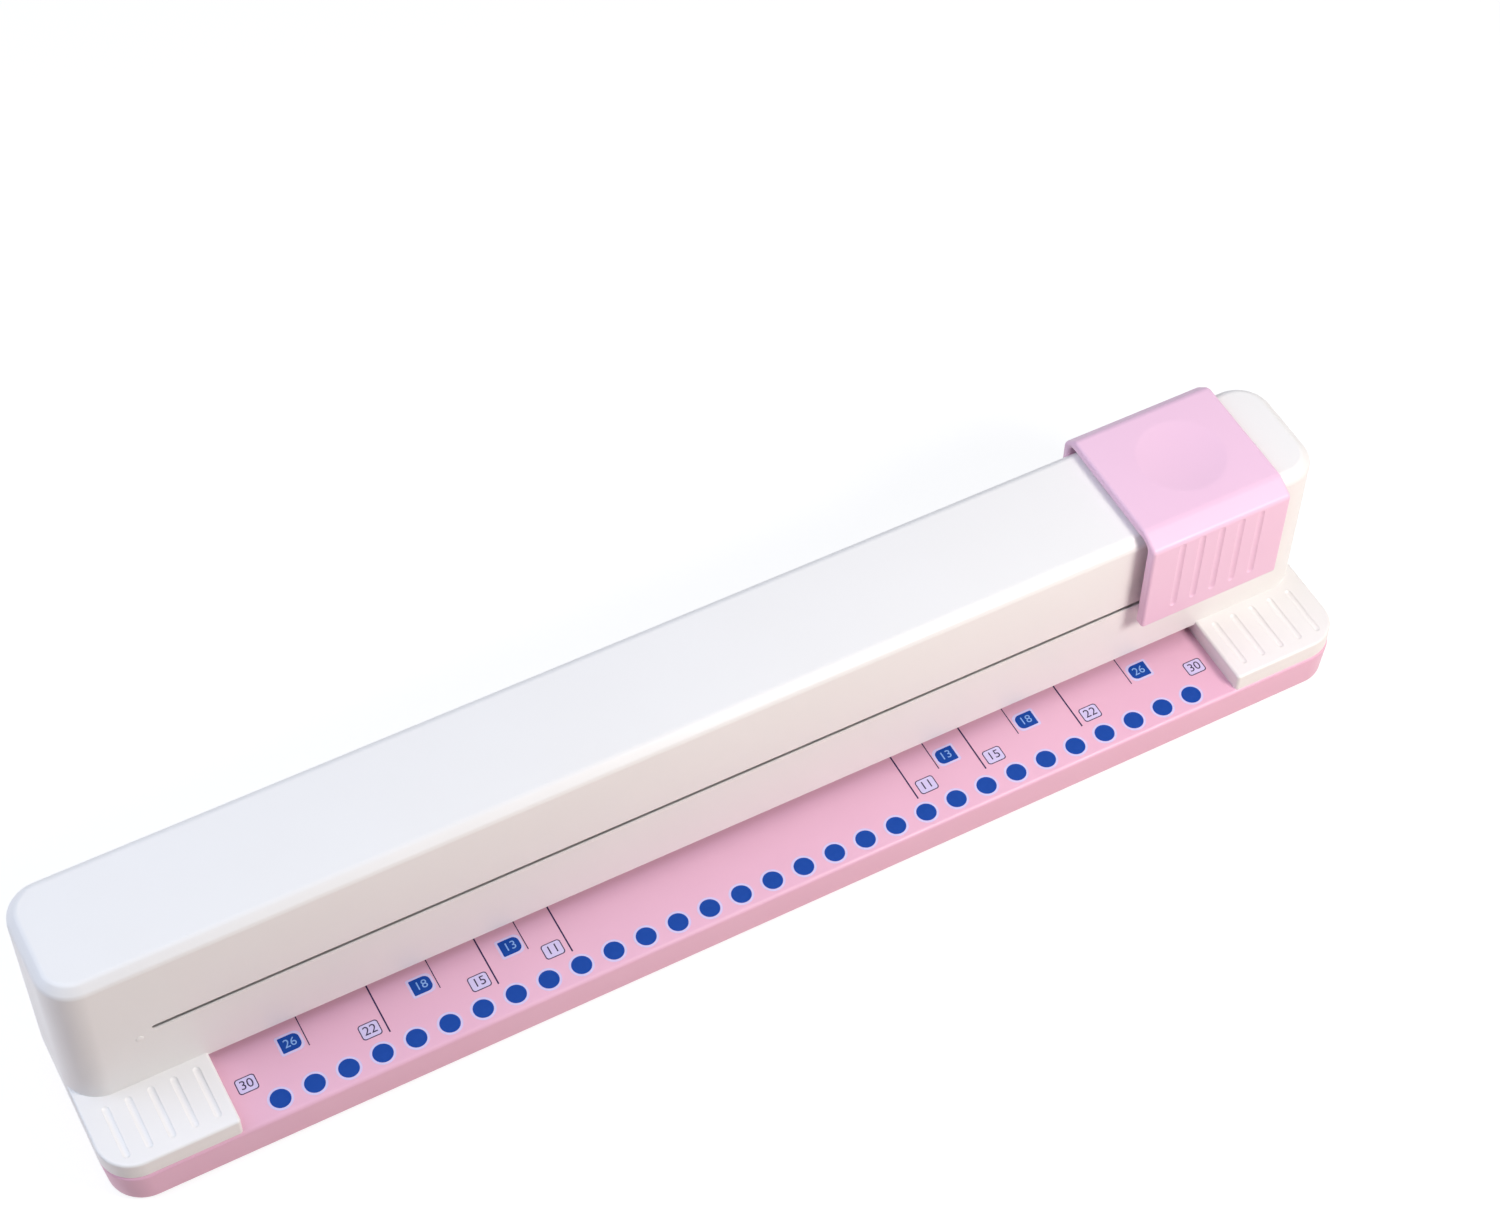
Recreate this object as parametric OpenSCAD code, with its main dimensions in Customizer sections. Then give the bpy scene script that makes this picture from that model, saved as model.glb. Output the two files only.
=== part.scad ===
// Sliding thirty-hole paper punch for loose-leaf sheets, in millimetres.
// X runs along the punch, Y from its front to its back, and Z up from the desk.
// The origin is on the desk, under the middle of the whole punch.
// A slider is pushed along a hollow beam, and a roller under it presses a row of pins.

/* [Paper] */
// Widest sheet, which sets the room between the end pads
paper_width = 297; // [250:1:330]
// Spare room beside the widest sheet, at each end
paper_room = 1.2; // [0.5:0.1:3]
// Gap that the sheets slide into
throat = 2.6; // [2:0.1:4]
// From the hole centres to the stop that the sheet's edge meets
stop_distance = 6.5; // [5.5:0.1:8]
// From a side edge of the widest sheet to its last hole
edge_margin = 10.75; // [8:0.05:16]

/* [Punch pins] */
// Number of pins, one for each hole
pin_count = 30; // [20:1:34]
// Spacing of the holes
pin_pitch = 9.5; // [9:0.1:12]
// Diameter of a pin
pin_diameter = 5.5; // [4:0.1:6]
// How far a pin is pressed down
pin_stroke = 5.2; // [4.8:0.1:7]
// Diameter of a pin's head
head_diameter = 7.4; // [6.5:0.1:8.4]
// Thickness of a pin's head
head_thickness = 2; // [1.4:0.1:3]
// Diameter of the collar that stops a pin from rising out
collar_diameter = 7; // [6.4:0.1:8.4]
// Thickness of that collar
collar_thickness = 1; // [0.8:0.1:1.6]
// Length of a return spring at rest
spring_length = 9; // [8:0.1:14]
// Radial clearance of a pin in its guides and its die
pin_fit = 0.06; // [0.03:0.01:0.1]

/* [Plates] */
// Thickness of the die plate, flush with the deck
die_thickness = 1.6; // [1.2:0.1:1.8]
// Width of the die plate, front to back
die_width = 16; // [12:0.5:18]
// Thickness of the stripper plate over the sheets
stripper_thickness = 2; // [1.5:0.1:3]
// How far the stripper plate's front lip bends up
lip_rise = 3; // [1:0.1:3.2]
// Thickness of the upper pin guide
guide_thickness = 1.5; // [1:0.1:3]
// Width of the upper pin guide
guide_width = 16; // [12:0.5:24]
// Thickness of the rail that the slider's rollers push against
rail_thickness = 2; // [1.5:0.1:4]
// Width of that rail
rail_width = 18; // [12:0.5:24]
// Sheet thickness of the two end brackets
bracket_thickness = 2; // [1.5:0.1:3]
// Length of a bracket's foot
bracket_foot = 7.4; // [7:0.1:14]

/* [Base] */
// Corner radius of the base and housing, seen from above
corner_radius = 10; // [8:0.5:12]
// Rounding of the deck's upper edge
deck_edge = 1.2; // [0.6:0.1:2]
// Wall of the base
base_wall = 2.4; // [1.8:0.1:3]
// Thickness of the paper deck
deck_thickness = 2.6; // [2.4:0.1:3.4]
// Thickness of the steel cover under the base
cover_thickness = 1; // [0.8:0.1:1.6]
// How far the rubber feet hold the base off the desk
foot_drop = 1.8; // [1.6:0.1:4]
// Diameter of a rubber foot
foot_diameter = 11; // [8:0.5:14]

/* [Chip drawer] */
// Height of the drawer that catches the punched chips
drawer_height = 6.2; // [5.8:0.1:12]
// Width of the drawer
drawer_width = 15; // [12:0.5:17]
// Wall and floor of the drawer
drawer_wall = 1.2; // [1:0.1:1.8]
// Running gap round the drawer
drawer_gap = 0.3; // [0.2:0.05:0.6]

/* [Housing] */
// From the base's front to the beam's front face
beam_setback = 22.85; // [18:0.05:40]
// Depth of the beam, front to back
beam_depth = 36.95; // [36:0.05:50]
// Rounding of the beam's upper edge
beam_edge = 3; // [2:0.1:4]
// Wall of the housing
housing_wall = 2.4; // [2:0.1:3]
// Height of the end pads over the deck
pad_height = 5.8; // [5:0.1:9]
// Height of the mouth between the deck and the beam's front wall
mouth_height = 4.3; // [3:0.1:4.8]
// How far the pads' front edge is set back from the base's front
pad_setback = 0.5; // [0.3:0.1:2]
// Rounding of the pads' upper edge
pad_edge = 0.8; // [0.4:0.1:1.4]
// Number of grooves across each pad
pad_grooves = 5; // [1:1:5]
// Spacing of those grooves
pad_groove_pitch = 6.15; // [3:0.05:7]
// Width of a groove
pad_groove_width = 2; // [1:0.1:3]
// Depth of a groove
pad_groove_depth = 0.5; // [0.2:0.05:0.8]
// From a pad's inner wall to its first groove
pad_groove_inset = 4.5; // [2:0.1:6]

/* [Slider] */
// Length of the slider's cap
cap_length = 42.6; // [30:0.2:60]
// Wall of the cap
cap_wall = 2.6; // [2.4:0.1:4]
// Gap between the cap and the beam
cap_gap = 1; // [0.5:0.1:2]
// How far the cap's skirt reaches below the slot's middle
cap_skirt = 7; // [4:0.1:14]
// Rounding of the cap's upper edges
cap_edge = 4.5; // [3:0.1:5]
// Rounding of the cap's upright corners
cap_corner = 1.6; // [1:0.1:3]
// Diameter of the thumb dish in the cap's top
dish_diameter = 25; // [14:0.5:26]
// Depth of the thumb dish
dish_depth = 0.9; // [0.4:0.05:1.4]
// Number of grip grooves on each skirt
grip_count = 5; // [1:1:5]
// Spacing of the grip grooves
grip_pitch = 6.3; // [3:0.1:7]
// Radius of a grip groove
grip_radius = 1.1; // [0.6:0.05:1.5]
// Depth of a grip groove
grip_depth = 0.6; // [0.3:0.05:0.8]
// How far past the widest sheet's last hole the slider parks
park_overrun = 11.75; // [11.7:0.05:20]

/* [Carriage] */
// Thickness of its plate, which passes through the slots
plate_thickness = 1.2; // [0.8:0.1:2]
// Thickness of its two cheeks
cheek_thickness = 1.6; // [1:0.1:2.4]
// Diameter of the roller that presses the pins
press_diameter = 16; // [14:0.5:16]
// Diameter of the two rollers that push against the rail
support_diameter = 9; // [7:0.5:9.5]
// Distance between those two rollers
support_spread = 16; // [11:0.5:17]
// Metal of the carriage past each support axle
cheek_margin = 4; // [3:0.1:5]
// From the press roller's axle up to the support rollers' axles
support_rise = 13; // [12.5:0.1:18]
// Width of the rollers
roller_width = 9; // [6:0.5:11]
// Diameter of the press roller's axle
press_axle = 5; // [3:0.1:6]
// Diameter of the support rollers' axles
support_axle = 3.5; // [2:0.1:4]
// Thickness of a clip on an axle's end
clip_thickness = 0.6; // [0.4:0.1:1]
// Thickness of the rubber bumpers at the ends of the travel
bumper_thickness = 2.1; // [1:0.1:4]

/* [Screws] */
// Diameter of the screws
screw_diameter = 3; // [2:0.1:3.4]
// Diameter of a screw's head
screw_head = 5.6; // [4:0.1:6]
// Thickness of a screw's head
screw_head_thickness = 1.2; // [0.8:0.1:1.5]
// Diameter of the bosses that take the screws
boss_diameter = 8.4; // [7:0.1:9]

/* [Hidden] */
$fn = 64;
// Facets round a rounded corner of a moulding
corner_fn = 32;
// Gap of a shaft or screw that is fixed in its hole
fixed_fit = 0.02;
// Gap round a plate or tab that is seated in its slot
seat_gap = 0.1;
// Running clearance of a roller on its axle
roller_fit = 0.06;
// Gap between a roller and what it runs on
roll_gap = 0.1;
// Gap left between the press roller and the pin heads, all at rest
press_gap = 0.3;
// Overshoot of a cut past the face that it opens
cut = 1;

// How far a corner boss is sunk into the corner's wall, and how far in from both sides it stands
boss_bond = 0.6;
boss_inset = corner_radius
             - (corner_radius - housing_wall + boss_bond - boss_diameter / 2) / sqrt(2);

// Along X, from the middle outwards
last_pin_x = (pin_count - 1) / 2 * pin_pitch;
last_hole_x = paper_width / 2 - edge_margin;
park_x = last_hole_x + park_overrun;
carriage_length = support_spread + 2 * cheek_margin;
slot_half = park_x + carriage_length / 2;
bumper_gap = 0.4;
bracket_x = slot_half + bumper_gap + bumper_thickness;
bracket_end = bracket_x + bracket_thickness + bracket_foot;
boss_room = 0.4;
works_half = bracket_end + boss_room + boss_diameter / 2 + boss_inset;
pad_x = paper_width / 2 + paper_room;
half_length = max(works_half, pad_x + pad_groove_inset + pad_grooves * pad_groove_pitch);
boss_x = half_length - boss_inset;
die_margin = 8;
die_half = last_pin_x + die_margin;

// Along Y, from the front to the back
base_depth = beam_setback + beam_depth;
cap_reach = cap_gap + cap_wall;
front_y = -(base_depth + cap_reach) / 2;
back_y = front_y + base_depth;
beam_y = front_y + beam_setback;
pin_y = beam_y + beam_depth / 2;
cap_front_y = beam_y - cap_reach;
cap_back_y = back_y + cap_reach;
inner_half = beam_depth / 2 - housing_wall;
bracket_side_room = 0.6;
bracket_half = inner_half - bracket_side_room;
screw_side = bracket_half - screw_head / 2 - seat_gap;
cheek_gap = 0.35;
cheek_inner = roller_width / 2 + cheek_gap;
cheek_outer = cheek_inner + cheek_thickness;
axle_end = 1.8;
stop_width = 2;

// Up from the desk
base_z = foot_drop;
cover_z = base_z + cover_thickness;
deck_under_z = cover_z + drawer_height + 2 * drawer_gap;
deck_z = deck_under_z + deck_thickness;
mouth_z = deck_z + mouth_height;
pad_z = deck_z + pad_height;
stripper_z = deck_z + throat;
stripper_top_z = stripper_z + stripper_thickness;
collar_room = 0.8;
guide_z = stripper_top_z + pin_stroke + collar_thickness + collar_room;
guide_top_z = guide_z + guide_thickness;
head_z = guide_top_z + spring_length;
head_top_z = head_z + head_thickness;
pin_tip_recess = 0.4;
pin_tip_z = stripper_z + pin_tip_recess;
slot_room = 2.9;
plate_z = head_top_z + slot_room;
slot_z = plate_z + plate_thickness / 2;
slot_gap = 0.2;
slot_height = plate_thickness + 2 * slot_gap;
press_z = head_top_z + press_gap + press_diameter / 2;
support_z = press_z + support_rise;
rail_z = support_z + support_diameter / 2 + roll_gap;
rail_room = 1.2;
beam_top_z = rail_z + rail_thickness + rail_room + housing_wall;
cap_top_z = beam_top_z + cap_reach;
cap_bottom_z = slot_z - cap_skirt;
cheek_rail_gap = 0.8;
cheek_top_z = rail_z - cheek_rail_gap;

// Tabs on the plates' ends, which pass through the brackets
tab_width = 10;

pink = "#E3A9C3";
white = "#F0ECE8";
steel = "#C4C8CC";
spring_steel = "#9DA3A8";
rubber = "#3B3A3C";

function pin_name(i) = str("punch_pin_", i < 10 ? "0" : "", i);
function pin_x(i) = (i - 1 - (pin_count - 1) / 2) * pin_pitch;

// Shared shapes

// A post with a rounded top edge, to be hulled into a slab
module corner_post(radius, height, edge) {
    cylinder(r = radius, h = height - edge, $fn = corner_fn);
    translate([0, 0, height - edge])
        rotate_extrude($fn = corner_fn)
            intersection() {
                translate([radius - edge, 0]) circle(r = edge, $fn = corner_fn);
                square([radius, edge]);
            }
}

// A slab between two corners of a rectangle, with upright corners and a rounded top edge
module rounded_slab(low, high, z, height, radius, edge) {
    hull()
        for (x = [low.x + radius, high.x - radius], y = [low.y + radius, high.y - radius])
            translate([x, y, z]) corner_post(radius, height, edge);
}

// A box given by its lowest and highest corners
module span(low, high) {
    translate(low) cube(high - low);
}

// A box that runs along the pin row, given by its half length and its sides round the row
module row_bar(half, side_low, side_high, z_low, z_high) {
    span([-half, pin_y + side_low, z_low], [half, pin_y + side_high, z_high]);
}

// A cylinder along Y that is centred on the pin row
module cross_shaft(x, z, diameter, length) {
    translate([x, pin_y + length / 2, z]) rotate([90, 0, 0]) cylinder(d = diameter, h = length);
}

module at_corner_screws() {
    for (x = [-boss_x, boss_x], y = [front_y + boss_inset, back_y - boss_inset])
        translate([x, y, 0]) children();
}

module at_bracket_screws() {
    x = bracket_x + bracket_thickness + bracket_foot / 2;
    for (side = [-1, 1], across = [-1, 1])
        translate([side * x, pin_y + across * screw_side, 0]) children();
}

module at_pins() {
    for (i = [1 : pin_count]) translate([pin_x(i), pin_y, 0]) children();
}

// A pan-head screw, with the bearing face of its head at z = 0 and its shank along +Z
module screw(length) {
    cylinder(d = screw_diameter, h = length);
    translate([0, 0, -screw_head_thickness]) cylinder(d = screw_head, h = screw_head_thickness);
}

// Base

// Moulded base with the paper deck, open below
module base_deck() {
    rib_gap = drawer_width / 2 + drawer_gap;
    hollow = deck_under_z - cover_z;
    color(pink) difference() {
        rounded_slab([-half_length, front_y], [half_length, back_y],
                     base_z, deck_z - base_z, corner_radius, deck_edge);
        difference() {
            rounded_slab([-half_length + base_wall, front_y + base_wall],
                         [half_length - base_wall, back_y - base_wall],
                         base_z - cut, deck_under_z - base_z + cut,
                         corner_radius - base_wall, deck_edge / 2);
            for (side = [0, 1])
                translate([0, pin_y, 0]) mirror([0, side, 0])
                    span([-die_half, rib_gap, cover_z + seat_gap],
                         [die_half, rib_gap + drawer_wall, deck_z]);
            at_corner_screws() translate([0, 0, cover_z])
                cylinder(d = boss_diameter, h = hollow + cut);
            at_bracket_screws() translate([0, 0, cover_z + seat_gap])
                cylinder(d = screw_head, h = hollow + cut);
        }
        row_bar(die_half + seat_gap, -die_width / 2 - seat_gap, die_width / 2 + seat_gap,
                deck_z - die_thickness, deck_z + cut);
        row_bar(last_pin_x + pin_diameter, -pin_diameter, pin_diameter,
                deck_under_z - cut, deck_z);
        span([die_half, pin_y - rib_gap, cover_z],
             [half_length + cut, pin_y + rib_gap, deck_under_z]);
        at_corner_screws() translate([0, 0, base_z])
            cylinder(d = screw_diameter + 2 * fixed_fit, h = deck_z - base_z + cut);
        at_bracket_screws() translate([0, 0, cover_z])
            cylinder(d = screw_diameter + 2 * fixed_fit, h = deck_z - cover_z + cut);
    }
}

// Pressed steel sheet that closes the base from below
module bottom_cover() {
    inset = base_wall + seat_gap;
    color(steel) difference() {
        rounded_slab([-half_length + inset, front_y + inset], [half_length - inset, back_y - inset],
                     base_z, cover_thickness, corner_radius - inset, cover_thickness / 5);
        at_corner_screws() translate([0, 0, base_z - cut])
            cylinder(d = screw_diameter + 2 * fixed_fit, h = cover_thickness + 2 * cut);
    }
}

// Six rubber discs stuck to the cover
module rubber_feet() {
    edge_room = 2;
    foot_x = boss_x - screw_head / 2 - edge_room - foot_diameter / 2;
    side_inset = base_wall + edge_room + foot_diameter / 2;
    color(rubber)
        for (x = [-foot_x, 0, foot_x])
            for (y = [front_y + side_inset, back_y - side_inset])
                translate([x, y, 0]) cylinder(d = foot_diameter, h = foot_drop);
}

// Four screws that clamp cover, base and housing together
module base_screws() {
    color(steel) at_corner_screws() translate([0, 0, base_z])
        screw(pad_z - housing_wall - base_z - seat_gap);
}

// Shallow tray under the dies, pulled out through the right-hand end
module chip_drawer() {
    low_z = cover_z + drawer_gap;
    floor_z = low_z + drawer_wall;
    high_z = low_z + drawer_height;
    half = drawer_width / 2;
    left_x = -die_half;
    front_panel = 2 * base_wall;
    lip = 0.8;
    color(pink) difference() {
        span([left_x, pin_y - half, low_z], [half_length, pin_y + half, high_z]);
        span([left_x + drawer_wall, pin_y - half + drawer_wall, floor_z],
             [half_length - front_panel, pin_y + half - drawer_wall, high_z + cut]);
        span([half_length - base_wall, pin_y - half + 2 * drawer_wall, floor_z + lip],
             [half_length - lip, pin_y + half - 2 * drawer_wall, high_z - lip]);
        span([half_length - base_wall, pin_y - half + 2 * drawer_wall, floor_z + lip],
             [half_length + cut, pin_y + half - 2 * drawer_wall, floor_z + 3 * lip]);
    }
}

// Punch works

// Hardened plate with one die hole under each pin
module die_plate() {
    color(steel) difference() {
        row_bar(die_half, -die_width / 2, die_width / 2, deck_z - die_thickness, deck_z);
        at_pins() translate([0, 0, deck_z - die_thickness - cut])
            cylinder(d = pin_diameter + 2 * pin_fit, h = die_thickness + 2 * cut);
    }
}

// Bar that the edge of the sheets is pushed against
module paper_stop() {
    color(steel) row_bar(bracket_x, stop_distance, stop_distance + stop_width,
                         deck_z, stripper_z);
}

// Tabs at both ends of a plate, which pass through the brackets
module end_tabs(z, thickness) {
    for (side = [-1, 1])
        span([side > 0 ? bracket_x : -bracket_x - bracket_thickness, pin_y - tab_width / 2, z],
             [side > 0 ? bracket_x + bracket_thickness : -bracket_x, pin_y + tab_width / 2,
              z + thickness]);
}

// Plate that holds the sheets down as the pins withdraw, with a lip bent up at its front
module stripper_plate() {
    overhang = 0.5;
    rear = stop_distance + stop_width + overhang;
    bend = -die_width / 2;
    lip_end = bend - 1.5 * lip_rise;
    profile = [[bend, 0], [rear, 0], [rear, stripper_thickness], [bend, stripper_thickness],
               [lip_end, stripper_thickness + lip_rise], [lip_end, lip_rise]];
    color(steel) difference() {
        union() {
            translate([bracket_x, pin_y, stripper_z])
                rotate([90, 0, -90]) linear_extrude(2 * bracket_x)
                    mirror([1, 0]) polygon(profile);
            end_tabs(stripper_z, stripper_thickness);
        }
        at_pins() translate([0, 0, stripper_z - cut])
            cylinder(d = pin_diameter + 2 * pin_fit, h = stripper_thickness + 2 * cut);
    }
}

// Upper guide, which the springs stand on
module pin_guide() {
    color(steel) difference() {
        union() {
            row_bar(bracket_x, -guide_width / 2, guide_width / 2, guide_z, guide_top_z);
            end_tabs(guide_z, guide_thickness);
        }
        at_pins() translate([0, 0, guide_z - cut])
            cylinder(d = pin_diameter + 2 * pin_fit, h = guide_thickness + 2 * cut);
    }
}

// Rail over the slider's rollers, which takes the force of punching
module upper_rail() {
    color(steel) {
        row_bar(bracket_x, -rail_width / 2, rail_width / 2, rail_z, rail_z + rail_thickness);
        end_tabs(rail_z, rail_thickness);
    }
}

// Steel angle that holds the plates and the rail at one end
module end_bracket(side) {
    inner = bracket_x;
    outer = bracket_x + bracket_thickness;
    color(steel) mirror([side > 0 ? 0 : 1, 0, 0]) difference() {
        union() {
            span([inner, pin_y - bracket_half, deck_z],
                 [outer, pin_y + bracket_half, rail_z + rail_thickness + rail_room / 2]);
            span([inner, pin_y - bracket_half, deck_z],
                 [bracket_end, pin_y + bracket_half, deck_z + bracket_thickness]);
        }
        for (slot = [[stripper_z, stripper_thickness], [guide_z, guide_thickness],
                     [rail_z, rail_thickness]])
            span([inner - cut, pin_y - tab_width / 2 - seat_gap, slot[0] - seat_gap],
                 [outer + cut, pin_y + tab_width / 2 + seat_gap, slot[0] + slot[1] + seat_gap]);
        at_bracket_screws() translate([0, 0, deck_z - cut])
            cylinder(d = screw_diameter + 2 * fixed_fit, h = bracket_thickness + 2 * cut);
    }
}

// Four screws that hold the brackets down on the deck
module bracket_screws() {
    color(steel) at_bracket_screws() translate([0, 0, deck_z + bracket_thickness])
        mirror([0, 0, 1]) screw(deck_z + bracket_thickness - cover_z - drawer_gap);
}

// Two rubber blocks that stop the carriage
module end_bumpers() {
    bumper_half = cheek_outer + 1;
    bumper_height = 6;
    middle_z = (press_z + support_z) / 2;
    color(rubber)
        for (side = [0, 1])
            mirror([side, 0, 0])
                span([bracket_x - bumper_thickness, pin_y - bumper_half, middle_z - bumper_height / 2],
                     [bracket_x, pin_y + bumper_half, middle_z + bumper_height / 2]);
}

// Return springs, one round each pin, drawn as plain sleeves because the beam hides them
module return_springs() {
    room = 0.4;
    inside = pin_diameter + room;
    outside = head_diameter - room;
    color(spring_steel) at_pins() translate([0, 0, guide_top_z]) difference() {
        cylinder(d = outside, h = spring_length);
        translate([0, 0, -cut]) cylinder(d = inside, h = spring_length + 2 * cut);
    }
}

// One pin, turned in one piece with its head and its collar
module punch_pin(i) {
    collar_gap = 0.05;
    color(steel) translate([pin_x(i), pin_y, 0]) {
        translate([0, 0, pin_tip_z])
            cylinder(d = pin_diameter, h = head_z - pin_tip_z + head_thickness / 2);
        translate([0, 0, head_z]) cylinder(d = head_diameter, h = head_thickness);
        translate([0, 0, guide_z - collar_gap - collar_thickness])
            cylinder(d = collar_diameter, h = collar_thickness);
    }
}

// Housing

// The raised pad at the right-hand end, solid, with its outer front corner rounded
module pad_body(inset, height) {
    low_x = pad_x + inset;
    high_x = half_length - inset;
    low_y = front_y + pad_setback + inset;
    high_y = beam_y + corner_radius;
    small = 1;
    outer = max(corner_radius - inset, small);
    edge = inset > 0 ? small / 2 : pad_edge;
    hull() {
        translate([high_x - outer, low_y + outer, deck_z]) corner_post(outer, height, edge);
        for (corner = [[low_x + small, low_y + small], [low_x + small, high_y - small],
                       [high_x - small, high_y - small]])
            translate([corner.x, corner.y, deck_z]) corner_post(small, height, edge);
    }
}

module pad_groove_cuts() {
    groove_front = 3.5;
    groove_back = 2.5;
    radius = (pad_groove_width * pad_groove_width / 4 + pad_groove_depth * pad_groove_depth)
             / (2 * pad_groove_depth);
    for (i = [0 : pad_grooves - 1])
        translate([pad_x + pad_groove_inset + i * pad_groove_pitch, beam_y - groove_back,
                   pad_z - pad_groove_depth + radius])
            rotate([90, 0, 0])
                cylinder(r = radius, h = beam_setback - pad_setback - groove_front - groove_back);
}

// A small raised dot beside each end of the front slot
module slot_pips() {
    pip_diameter = 1.8;
    pip_height = 0.3;
    pip_room = 3.7;
    pip_drop = 2.6;
    for (side = [-1, 1])
        translate([side * (slot_half + slot_gap + pip_room), beam_y + cut, slot_z - pip_drop])
            rotate([90, 0, 0]) cylinder(d = pip_diameter, h = pip_height + cut);
}

// Moulded upper housing: the hollow beam and the two end pads in one piece
module upper_housing() {
    inner_corner = corner_radius - housing_wall;
    color(white) difference() {
        union() {
            rounded_slab([-half_length, beam_y], [half_length, back_y],
                         deck_z, beam_top_z - deck_z, corner_radius, beam_edge);
            for (side = [0, 1]) mirror([side, 0, 0]) pad_body(0, pad_height);
            slot_pips();
        }
        difference() {
            union() {
                rounded_slab([-half_length + housing_wall, beam_y + housing_wall],
                             [half_length - housing_wall, back_y - housing_wall],
                             deck_z - cut, beam_top_z - housing_wall - deck_z + cut,
                             inner_corner, beam_edge / 3);
                for (side = [0, 1]) mirror([side, 0, 0])
                    translate([0, 0, -cut]) pad_body(housing_wall, pad_height - housing_wall + cut);
            }
            at_corner_screws() translate([0, 0, deck_z]) cylinder(d = boss_diameter, h = pad_height);
        }
        for (side = [0, 1]) mirror([side, 0, 0]) pad_groove_cuts();
        span([-pad_x, beam_y - cut, deck_z - cut], [pad_x, beam_y + housing_wall + cut, mouth_z]);
        span([-slot_half - slot_gap, beam_y - cut, slot_z - slot_height / 2],
             [slot_half + slot_gap, back_y + cut, slot_z + slot_height / 2]);
        at_corner_screws() translate([0, 0, deck_z - cut])
            cylinder(d = screw_diameter + 2 * fixed_fit, h = pad_height - housing_wall + cut);
    }
}

// Slider

// The cap's outer form: rounded along its upper edges, with small upright corners
module cap_form() {
    half = cap_length / 2;
    depth = cap_back_y - cap_front_y;
    height = cap_top_z - cap_bottom_z;
    intersection() {
        translate([-half, cap_front_y, cap_bottom_z]) rotate([90, 0, 90]) linear_extrude(cap_length) {
            square([depth, height - cap_edge]);
            translate([cap_edge, 0]) square([depth - 2 * cap_edge, height]);
            for (y = [cap_edge, depth - cap_edge])
                translate([y, height - cap_edge]) circle(r = cap_edge);
        }
        translate([-half, cap_front_y, cap_bottom_z]) linear_extrude(height) {
            translate([cap_corner, 0]) square([cap_length - 2 * cap_corner, depth]);
            translate([0, cap_corner]) square([cap_length, depth - 2 * cap_corner]);
            for (x = [cap_corner, cap_length - cap_corner], y = [cap_corner, depth - cap_corner])
                translate([x, y]) circle(r = cap_corner);
        }
    }
}

// Pink cap that the hand pushes, an arch over the beam
module slider_cap() {
    half = cap_length / 2;
    tongue = cap_wall / 2 + seat_gap;
    grip_low_z = slot_z - 2;
    grip_high_z = cap_top_z - cap_edge - 2;
    dish_sphere = (dish_diameter * dish_diameter / 4 + dish_depth * dish_depth) / (2 * dish_depth);
    color(pink) translate([park_x, 0, 0]) difference() {
        cap_form();
        span([-half - cut, beam_y - cap_gap, cap_bottom_z - cut],
             [half + cut, back_y + cap_gap, beam_top_z + cap_gap]);
        span([-carriage_length / 2 - seat_gap, beam_y - cap_gap - tongue,
              plate_z - seat_gap],
             [carriage_length / 2 + seat_gap, back_y + cap_gap + tongue,
              plate_z + plate_thickness + seat_gap]);
        translate([0, pin_y, cap_top_z - dish_depth + dish_sphere]) sphere(r = dish_sphere, $fn = 128);
        for (i = [0 : grip_count - 1], y = [cap_front_y - grip_radius + grip_depth,
                                           cap_back_y + grip_radius - grip_depth])
            translate([(i - (grip_count - 1) / 2) * grip_pitch, y, grip_low_z])
                cylinder(r = grip_radius, h = grip_high_z - grip_low_z);
    }
}

// Bent steel carriage: a plate through both slots, with two cheeks that hold the axles
module carriage() {
    half = carriage_length / 2;
    reach = beam_depth / 2 + cap_gap + cap_wall / 2;
    window_gap = 0.4;
    roller_over_plate = press_z - plate_z - plate_thickness;
    window_half = window_gap + sqrt(pow(press_diameter / 2, 2) - pow(roller_over_plate, 2));
    color(spring_steel) translate([park_x, 0, 0]) difference() {
        union() {
            span([-half, pin_y - reach, plate_z], [half, pin_y + reach, plate_z + plate_thickness]);
            for (side = [-1, 1])
                span([-half, pin_y + (side > 0 ? cheek_inner : -cheek_outer), plate_z],
                     [half, pin_y + (side > 0 ? cheek_outer : -cheek_inner), cheek_top_z]);
        }
        span([-window_half, pin_y - cheek_inner, plate_z - cut],
             [window_half, pin_y + cheek_inner, plate_z + plate_thickness + cut]);
        cross_shaft(0, press_z, press_axle + 2 * fixed_fit, 2 * cheek_outer + 2 * cut);
        for (side = [-1, 1])
            cross_shaft(side * support_spread / 2, support_z, support_axle + 2 * fixed_fit,
                        2 * cheek_outer + 2 * cut);
    }
}

// Hardened pin that the press roller turns on
module press_axle_pin() {
    color(steel) cross_shaft(park_x, press_z, press_axle, 2 * (cheek_outer + axle_end));
}

// Two pins that the support rollers turn on
module support_axle_pins() {
    color(steel)
        for (side = [-1, 1])
            cross_shaft(park_x + side * support_spread / 2, support_z, support_axle,
                        2 * (cheek_outer + axle_end));
}

// A plain steel roller on an axle
module roller(x, z, diameter, axle) {
    color(spring_steel) difference() {
        cross_shaft(x, z, diameter, roller_width);
        cross_shaft(x, z, axle + 2 * roller_fit, roller_width + 2 * cut);
    }
}

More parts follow.
